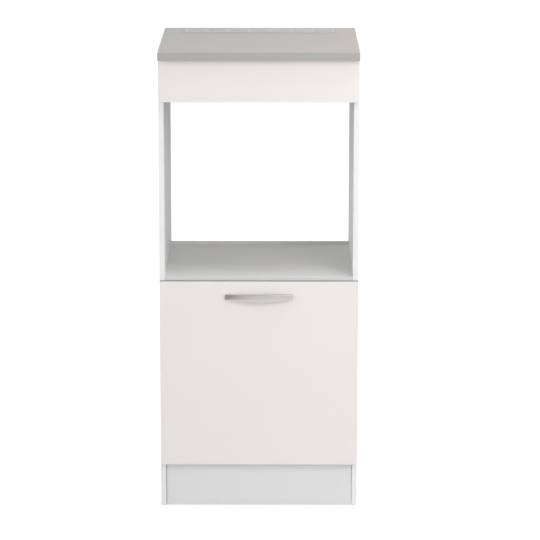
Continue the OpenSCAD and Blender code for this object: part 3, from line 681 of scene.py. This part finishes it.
def make_roller(node):
    """A moulded wheel: a rounded tread, a thinner web with a groove, and a hub."""
    low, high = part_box(node)
    centre = (Vector(low) + Vector(high)) / 2
    radius, half_width = (high[2] - low[2]) / 2, (high[0] - low[0]) / 2
    inner = radius - RIM_WALL
    web = half_width - WEB_RECESS
    edge = ROLLER_EDGE
    side = [(BORE_RADIUS, half_width - edge), (BORE_RADIUS + edge, half_width),
            (HUB_RADIUS, half_width), (HUB_RADIUS + edge / 2, web + edge / 2),
            (HUB_RADIUS + edge, web), (inner - edge, web), (inner - edge / 2, web + edge / 2),
            (inner, half_width - edge / 2), (inner + edge / 2, half_width),
            (radius - edge, half_width), (radius - edge / 3, half_width - edge / 3),
            (radius, half_width - edge)]
    outline = side + [(reach, -height) for reach, height in reversed(side)]
    shape = Shape()
    shape.hoop(outline, Matrix.Translation(centre) @ Matrix.Rotation(math.pi / 2, 4, "Y"))
    shape.piece(node + "_wheel", "roller", node, [node], 40)


for node in ("front_roller_left", "front_roller_right", "rear_roller_left", "rear_roller_right"):
    make_roller(node)

# ---- Fasteners and small fittings, one for each CAD solid ----

SAME_PLACE = 0.01 * MM
SAME_LEVEL = 0.05 * MM
RING = 24
CROSS_HALF_WIDTH = 0.32
THREAD_PITCH = 2.8 * MM
THREAD_CORE = 0.72
THREAD_STEPS = 4


def solids(node):
    """The corners of each separate solid of a CAD node, as lists of points."""
    edit = bmesh.new()
    edit.from_mesh(nodes[node].data)
    bmesh.ops.remove_doubles(edit, verts=edit.verts, dist=SAME_PLACE)
    edit.verts.index_update()
    seen = set()
    found = []
    for corner in edit.verts:
        if corner.index in seen:
            continue
        seen.add(corner.index)
        group = [corner]
        # The group grows while it is gone through
        for member in group:
            for edge in member.link_edges:
                other = edge.other_vert(member)
                if other.index not in seen:
                    seen.add(other.index)
                    group.append(other)
        found.append([member.co.copy() for member in group])
    edit.free()
    return found


def extents(points):
    """The lowest and the highest corner of the box around some points."""
    return [Vector([pick(point[k] for point in points) for k in range(3)]) for pick in (min, max)]


class Pin:
    """A round solid along one axis: where its wide end is, its radii and its lengths."""

    def __init__(self, points, axis=None):
        low, high = extents(points)
        middle = (low + high) / 2
        if axis is None:
            axis = max(range(3), key=lambda k: high[k] - low[k])
        self.length = high[axis] - low[axis]

        def off_axis(point):
            return math.hypot(*(point[k] - middle[k] for k in range(3) if k != axis))

        def radius_at(level):
            return max(off_axis(point) for point in points
                       if abs(point[axis] - level) < SAME_LEVEL)

        head_at_low = radius_at(low[axis]) >= radius_at(high[axis])
        top, tip = (low, high) if head_at_low else (high, low)
        self.head_radius, self.radius = radius_at(top[axis]), radius_at(tip[axis])
        wide = (self.head_radius + self.radius) / 2
        self.head_height = max(abs(point[axis] - top[axis]) for point in points
                               if off_axis(point) >= wide)
        inwards = Vector((0, 0, 0))
        inwards[axis] = 1 if head_at_low else -1
        start = middle.copy()
        start[axis] = top[axis]
        self.place = Matrix.Translation(start) @ inwards.to_track_quat("Z", "Y").to_matrix().to_4x4()


def circle(radius, height):
    return [(radius * math.cos(2 * math.pi * k / RING), radius * math.sin(2 * math.pi * k / RING),
             height) for k in range(RING)]


def cross(radius, height):
    """The outline of a cross recess, with six corners for each quarter of the ring."""
    arm, half = radius, radius * CROSS_HALF_WIDTH
    quarter = [(arm, 0), (arm, half), ((arm + half) / 2, half), (half, half),
               (half, (arm + half) / 2), (half, arm)]
    outline = []
    for turn in range(4):
        cosine, sine = (round(of(turn * math.pi / 2)) for of in (math.cos, math.sin))
        outline += [(x * cosine - y * sine, x * sine + y * cosine, height) for x, y in quarter]
    return outline


def thread(radius, start, end):
    """Rings whose corners step outwards and inwards along a helix."""
    rings = []
    step = THREAD_PITCH / THREAD_STEPS
    for level in range(int((end - start) / step) + 1):
        height = start + level * step
        ring = []
        for x, y, z in circle(1, height):
            turn = math.atan2(y, x) / (2 * math.pi)
            crest = 1 - abs(2 * ((height / THREAD_PITCH - turn) % 1) - 1)
            wide = radius * (THREAD_CORE + (1 - THREAD_CORE) * max(0, 2 * crest - 1))
            ring.append((x * wide, y * wide, z))
        rings.append(ring)
    return rings


def screw(shape, points):
    """A pan head with a cross recess, a threaded shank and a point."""
    pin = Pin(points)
    head, height, radius, length = pin.head_radius, pin.head_height, pin.radius, pin.length
    depth = min(0.7 * height, 1.6 * MM)
    recess = 0.52 * head
    rings = [cross(0.5 * recess, depth), cross(recess, 0), circle(0.68 * head, 0),
             circle(0.86 * head, 0.1 * height), circle(0.97 * head, 0.34 * height),
             circle(head, 0.62 * height), circle(head, 0.9 * height),
             circle(0.97 * head, height), circle(0.95 * radius, height)]
    rings += thread(radius, height + 0.6 * radius, length - 1.6 * radius)
    rings += [circle(0.3 * radius, length - 0.2 * radius), circle(0.05 * radius, length)]
    shape.skin(rings, pin.place)


def nail(shape, points):
    """A flat round head with a rounded rim, a plain shank and a point."""
    pin = Pin(points)
    head, height, radius, length = pin.head_radius, pin.head_height, pin.radius, pin.length
    profile = [(0.05 * head, 0), (0.7 * head, 0.05 * height), (0.93 * head, 0.25 * height),
               (head, 0.6 * height), (0.95 * head, height), (radius, height),
               (radius, length - 3 * radius), (0.05 * radius, length)]
    shape.turn(profile, pin.place, RING)


def bolt(shape, points):
    """A cam bolt: a ball end with a neck, a plain shank and a thread in the side panel."""
    pin = Pin(points)
    radius, length = pin.radius, pin.length
    rings = [circle(radius * wide, radius * height) for wide, height in
             ((0.3, 0), (0.75, 0.12), (0.98, 0.5), (0.98, 0.9), (0.75, 1.3), (0.6, 1.5),
              (0.6, 2.6), (0.95, 3.0))]
    rings.append(circle(0.95 * radius, 0.62 * length))
    rings += thread(radius, 0.66 * length, length - 0.4 * radius)
    rings.append(circle(0.3 * radius, length))
    # The ball end is the one nearer the cabinet's middle
    if pin.place.translation.x * (pin.place @ Vector((0, 0, 1)) - pin.place.translation).x < 0:
        pin.place = (pin.place @ Matrix.Translation((0, 0, length))
                     @ Matrix.Rotation(math.pi, 4, "X"))
    shape.skin(rings, pin.place)


def dowel(shape, points):
    """A fluted dowel with chamfered ends."""
    pin = Pin(points)
    radius, length = pin.radius, pin.length

    def fluted(scale, height):
        return [(x * (1 if k % 2 else 0.9), y * (1 if k % 2 else 0.9), z)
                for k, (x, y, z) in enumerate(circle(radius * scale, height))]

    chamfer = 0.3 * radius
    shape.skin([fluted(0.75, 0), fluted(1, chamfer), fluted(1, length - chamfer),
                fluted(0.75, length)], pin.place)


def glide(shape, points):
    """A nail-on glide: a disc with a broad rounded foot, and its pin."""
    pin = Pin(points, axis=2)
    low, high = extents(points)
    centre = Vector((pin.place.translation.x, pin.place.translation.y, low.z))

    def off_centre(point):
        return math.hypot(point[0] - centre.x, point[1] - centre.y)

    foot = max(off_centre(point) for point in points)
    thick = max(point[2] - low.z for point in points if off_centre(point) > 0.8 * foot)
    radius, length = min(pin.radius, pin.head_radius), high.z - low.z
    profile = [(0.3 * foot, 0), (0.7 * foot, 0.04 * thick), (0.9 * foot, 0.2 * thick),
               (0.98 * foot, 0.45 * thick), (foot, 0.8 * thick), (0.97 * foot, thick),
               (radius, thick), (radius, length - 3 * radius), (0.1 * radius, length)]
    shape.turn(profile, Matrix.Translation(centre), 32)


def bumper(shape, points):
    """A self-adhesive bumper: a low dome, flat where it touches the side panel."""
    pin = Pin(points, axis=1)
    radius, height = pin.head_radius, pin.length
    profile = [(0.45 * radius, height), (0.62 * radius, 0.93 * height),
               (0.8 * radius, 0.74 * height), (0.93 * radius, 0.45 * height),
               (radius, 0.12 * height), (0.98 * radius, 0)]
    low = extents(points)[0]
    centre = Vector((pin.place.translation.x, low.y, pin.place.translation.z))
    shape.turn(profile, Matrix.Translation(centre) @ Matrix.Rotation(-math.pi / 2, 4, "X"), 32)


SMALL_PARTS = (
    ("carcass_cam_bolts", bolt, "zinc", "cabinet"), ("carcass_dowels", dowel, "beech", "cabinet"),
    ("plinth_block_screws", screw, "zinc", "cabinet"), ("back_panel_nails", nail, "zinc", "cabinet"),
    ("fascia_screws", screw, "zinc", "cabinet"), ("glides", glide, "moulded", "cabinet"),
    ("worktop_bracket_screws", screw, "zinc", "cabinet"),
    ("channel_screws", screw, "zinc", "cabinet"), ("drawer_runner_screws", screw, "zinc", "drawer"),
    ("handle_screws", screw, "zinc", "drawer"), ("drawer_box_screws", screw, "zinc", "drawer"),
    ("drawer_front_screws", screw, "zinc", "drawer"), ("front_bumpers", bumper, "bumper", "drawer"),
)

for node, make, finish, body in SMALL_PARTS:
    parts = Shape()
    for points in solids(node):
        make(parts, points)
    parts.piece(node + "_worked", finish, body, [node], 40)


CAM_FACE = 0.22 * MM
CAM_FLOOR = 0.02 * MM


def make_cam_faces():
    """The cross recess and the rounded rim in the open end of each cam. The cams open
    downwards in the panels, and towards the cabinet's middle in the two rails."""
    shape = Shape()
    for points in solids("carcass_cams"):
        low, high = extents(points)
        place = (low + high) / 2
        axis = min(range(3), key=lambda k: high[k] - low[k])
        outwards = Vector((0, 0, 0))
        outwards[axis] = -1 if place[axis] > 0 else 1
        place[axis] = low[axis] if outwards[axis] < 0 else high[axis]
        radius = max(high - low) / 2
        rings = [cross(0.4 * radius, CAM_FLOOR), cross(0.55 * radius, CAM_FACE),
                 circle(0.88 * radius, CAM_FACE), circle(0.96 * radius, 0.7 * CAM_FACE),
                 circle(radius, 0)]
        turn = outwards.to_track_quat("Z", "Y").to_matrix().to_4x4()
        shape.skin(rings, Matrix.Translation(place) @ turn)
    shape.piece("cam_faces", "zinc", "cabinet", [], 20)


make_cam_faces()

# ---- Softened edges of the carried-over parts ----

SOFT_EDGE = 0.2 * MM


def soften(node):
    """Joins a part's split corners and takes the sharpness off its edges."""
    weld = node.modifiers.new("weld", "WELD")
    weld.merge_threshold = SAME_PLACE
    rounded(node, SOFT_EDGE, 2)


MADE_HERE = ("handle", "vent_grille", "front_roller_left", "front_roller_right",
             "rear_roller_left", "rear_roller_right") + tuple(part[0] for part in SMALL_PARTS)

for name, node in nodes.items():
    if name not in MADE_HERE:
        soften(node)

# ---- Floor, light and camera ----

FLOOR_SIZE = 30.0
FLOOR_BOUNCE = 0.4
FLOOR_GLOW = 0.86

# The sky: its colour, and its light by direction
WHITE = (1.0, 1.0, 1.0)
SKY_FRONT = 0.87
SKY_BACK = 0.35
SKY_LEFT = 3.1
SKY_LEFT_FOCUS = 4.0

# Lamps: name, place, target, diameter, power, and whether metal shows them
LAMPS = (
    ("low_right", (3.5, -3.5, 1.0), (0, 0, 0.7), 2.0, 10.5, False),
    ("side_right", (4.0, 0.0, 2.4), (0, 0, 0.7), 2.0, 87.0, True),
    ("overhead", (1.3, -0.4, 4.4), (0, -0.2, 0.7), 2.5, 70.0, True),
    ("low_left", (-3.0, -4.0, 1.0), (0, 0, 0.7), 2.0, 25.0, False),
    ("near_right", (1.2, -2.7, 1.0), (0, 0, 0.9), 1.4, 8.0, False),
    ("near_top_right", (1.4, -2.5, 2.3), (0, 0, 1.0), 1.2, 17.4, True),
)

# A grey card in front on the left, which only metal and gloss show
CARD_PLACE = (-1.65, -1.75, 0.45)
CARD_TARGET = (0.0, -0.3, 0.45)
CARD_WIDTH = 1.9
CARD_HEIGHT = 0.9
CARD_TONE = 0.16

CAMERA_PLACE = (0.052, -8.52, 2.499)
CAMERA_TILT = 12.01
CAMERA_YAW = 0.272
CAMERA_LENS = 186.75
CAMERA_SHIFT_X = 0.0128
CAMERA_REACH = 100


class StageTree(Tree):
    """The node tree of something on the stage, made from nothing."""

    def __init__(self, owner):
        super().__init__(owner)
        self.tree.nodes.clear()

    def shader(self, kind, **values):
        node = self.add(kind)
        for name, value in values.items():
            self.put(value, node.inputs[name])
        return node.outputs[0]

    def is_seen(self):
        """1 for rays straight from the camera, from a mirror or through glass."""
        path = self.add("ShaderNodeLightPath")
        camera, glossy, through = (path.outputs[f"Is {kind} Ray"]
                                   for kind in ("Camera", "Glossy", "Transmission"))
        return self.math("MAXIMUM", camera, self.math("MAXIMUM", glossy, through))

    def choose(self, share, off, on, output):
        mix = self.add("ShaderNodeMixShader")
        for value, socket in zip((share, off, on), mix.inputs):
            self.put(value, socket)
        self.put(mix.outputs[0], self.add(output).inputs["Surface"])


def flat_sheet(name, width, depth, material):
    """A flat sheet around its own middle."""
    x, y = width / 2, depth / 2
    mesh = bpy.data.meshes.new(name)
    mesh.from_pydata([(-x, -y, 0), (x, -y, 0), (x, y, 0), (-x, y, 0)], [], [(0, 1, 2, 3)])
    mesh.materials.append(material)
    return new_object(name, mesh)


def aim(thing, place, target, axis):
    """Puts a thing at a place and turns one of its axes towards a target."""
    thing.location = place
    towards = Vector(target) - Vector(place)
    thing.rotation_euler = towards.to_track_quat(axis, "Y").to_euler()


def make_floor():
    """A pale floor that shows as white and still takes the cabinet's shadow."""
    material = bpy.data.materials.new("floor")
    tree = StageTree(material)
    plain = tree.shader("ShaderNodeBsdfDiffuse", Color=(FLOOR_BOUNCE,) * 3)
    together = tree.add("ShaderNodeAddShader")
    tree.put(plain, together.inputs[0])
    tree.put(tree.shader("ShaderNodeEmission", Strength=FLOOR_GLOW), together.inputs[1])
    tree.choose(tree.is_seen(), plain, together.outputs[0], "ShaderNodeOutputMaterial")
    floor = flat_sheet("floor", FLOOR_SIZE, FLOOR_SIZE, material)


def make_world():
    """White to the eye. Its light comes mostly from the front and from the left."""
    world = bpy.data.worlds.new("studio")
    bpy.context.scene.world = world
    tree = StageTree(world)
    direction = tree.add("ShaderNodeSeparateXYZ")
    tree.put(tree.add("ShaderNodeTexCoord").outputs["Generated"], direction.inputs[0])
    side, depth = direction.outputs["X"], direction.outputs["Y"]
    front = tree.math("MAXIMUM", tree.math("MULTIPLY", depth, -1.0), 0.0)
    back = tree.math("MAXIMUM", depth, 0.0)
    left = tree.math("MAXIMUM", tree.math("MULTIPLY", side, -1.0), 0.0)
    light = tree.math("MULTIPLY_ADD", front, SKY_FRONT, tree.math("MULTIPLY", back, SKY_BACK))
    light = tree.math("MULTIPLY_ADD", tree.math("POWER", left, SKY_LEFT_FOCUS), SKY_LEFT, light)
    sky = tree.shader("ShaderNodeBackground", Color=WHITE, Strength=light)
    white = tree.shader("ShaderNodeBackground", Color=WHITE)
    tree.choose(tree.is_seen(), sky, white, "ShaderNodeOutputWorld")


def make_card():
    """A grey card that gives metal and gloss something darker to show on the left."""
    material = bpy.data.materials.new("card")
    tree = StageTree(material)
    tone = tree.shader("ShaderNodeEmission", Color=(CARD_TONE,) * 3)
    tree.put(tone, tree.add("ShaderNodeOutputMaterial").inputs["Surface"])
    card = flat_sheet("card", CARD_WIDTH, CARD_HEIGHT, material)
    aim(card, CARD_PLACE, CARD_TARGET, "Z")
    card.visible_camera = False
    card.visible_diffuse = False
    card.visible_shadow = False


def make_lamp(name, place, target, diameter, power, in_metal):
    data = bpy.data.lights.new(name, "AREA")
    data.shape = "DISK"
    data.size = diameter
    data.energy = power
    lamp = new_object(name, data)
    aim(lamp, place, target, "-Z")
    lamp.visible_glossy = in_metal


def make_camera():
    data = bpy.data.cameras.new("camera")
    data.lens = CAMERA_LENS
    data.shift_x = CAMERA_SHIFT_X
    data.clip_end = CAMERA_REACH
    camera = new_object("camera", data)
    camera.location = CAMERA_PLACE
    camera.rotation_euler = (math.radians(90 - CAMERA_TILT), 0, math.radians(CAMERA_YAW))
    bpy.context.scene.camera = camera


make_floor()
make_world()
make_card()
for lamp in LAMPS:
    make_lamp(*lamp)
make_camera()
bpy.context.scene.view_settings.view_transform = "Standard"
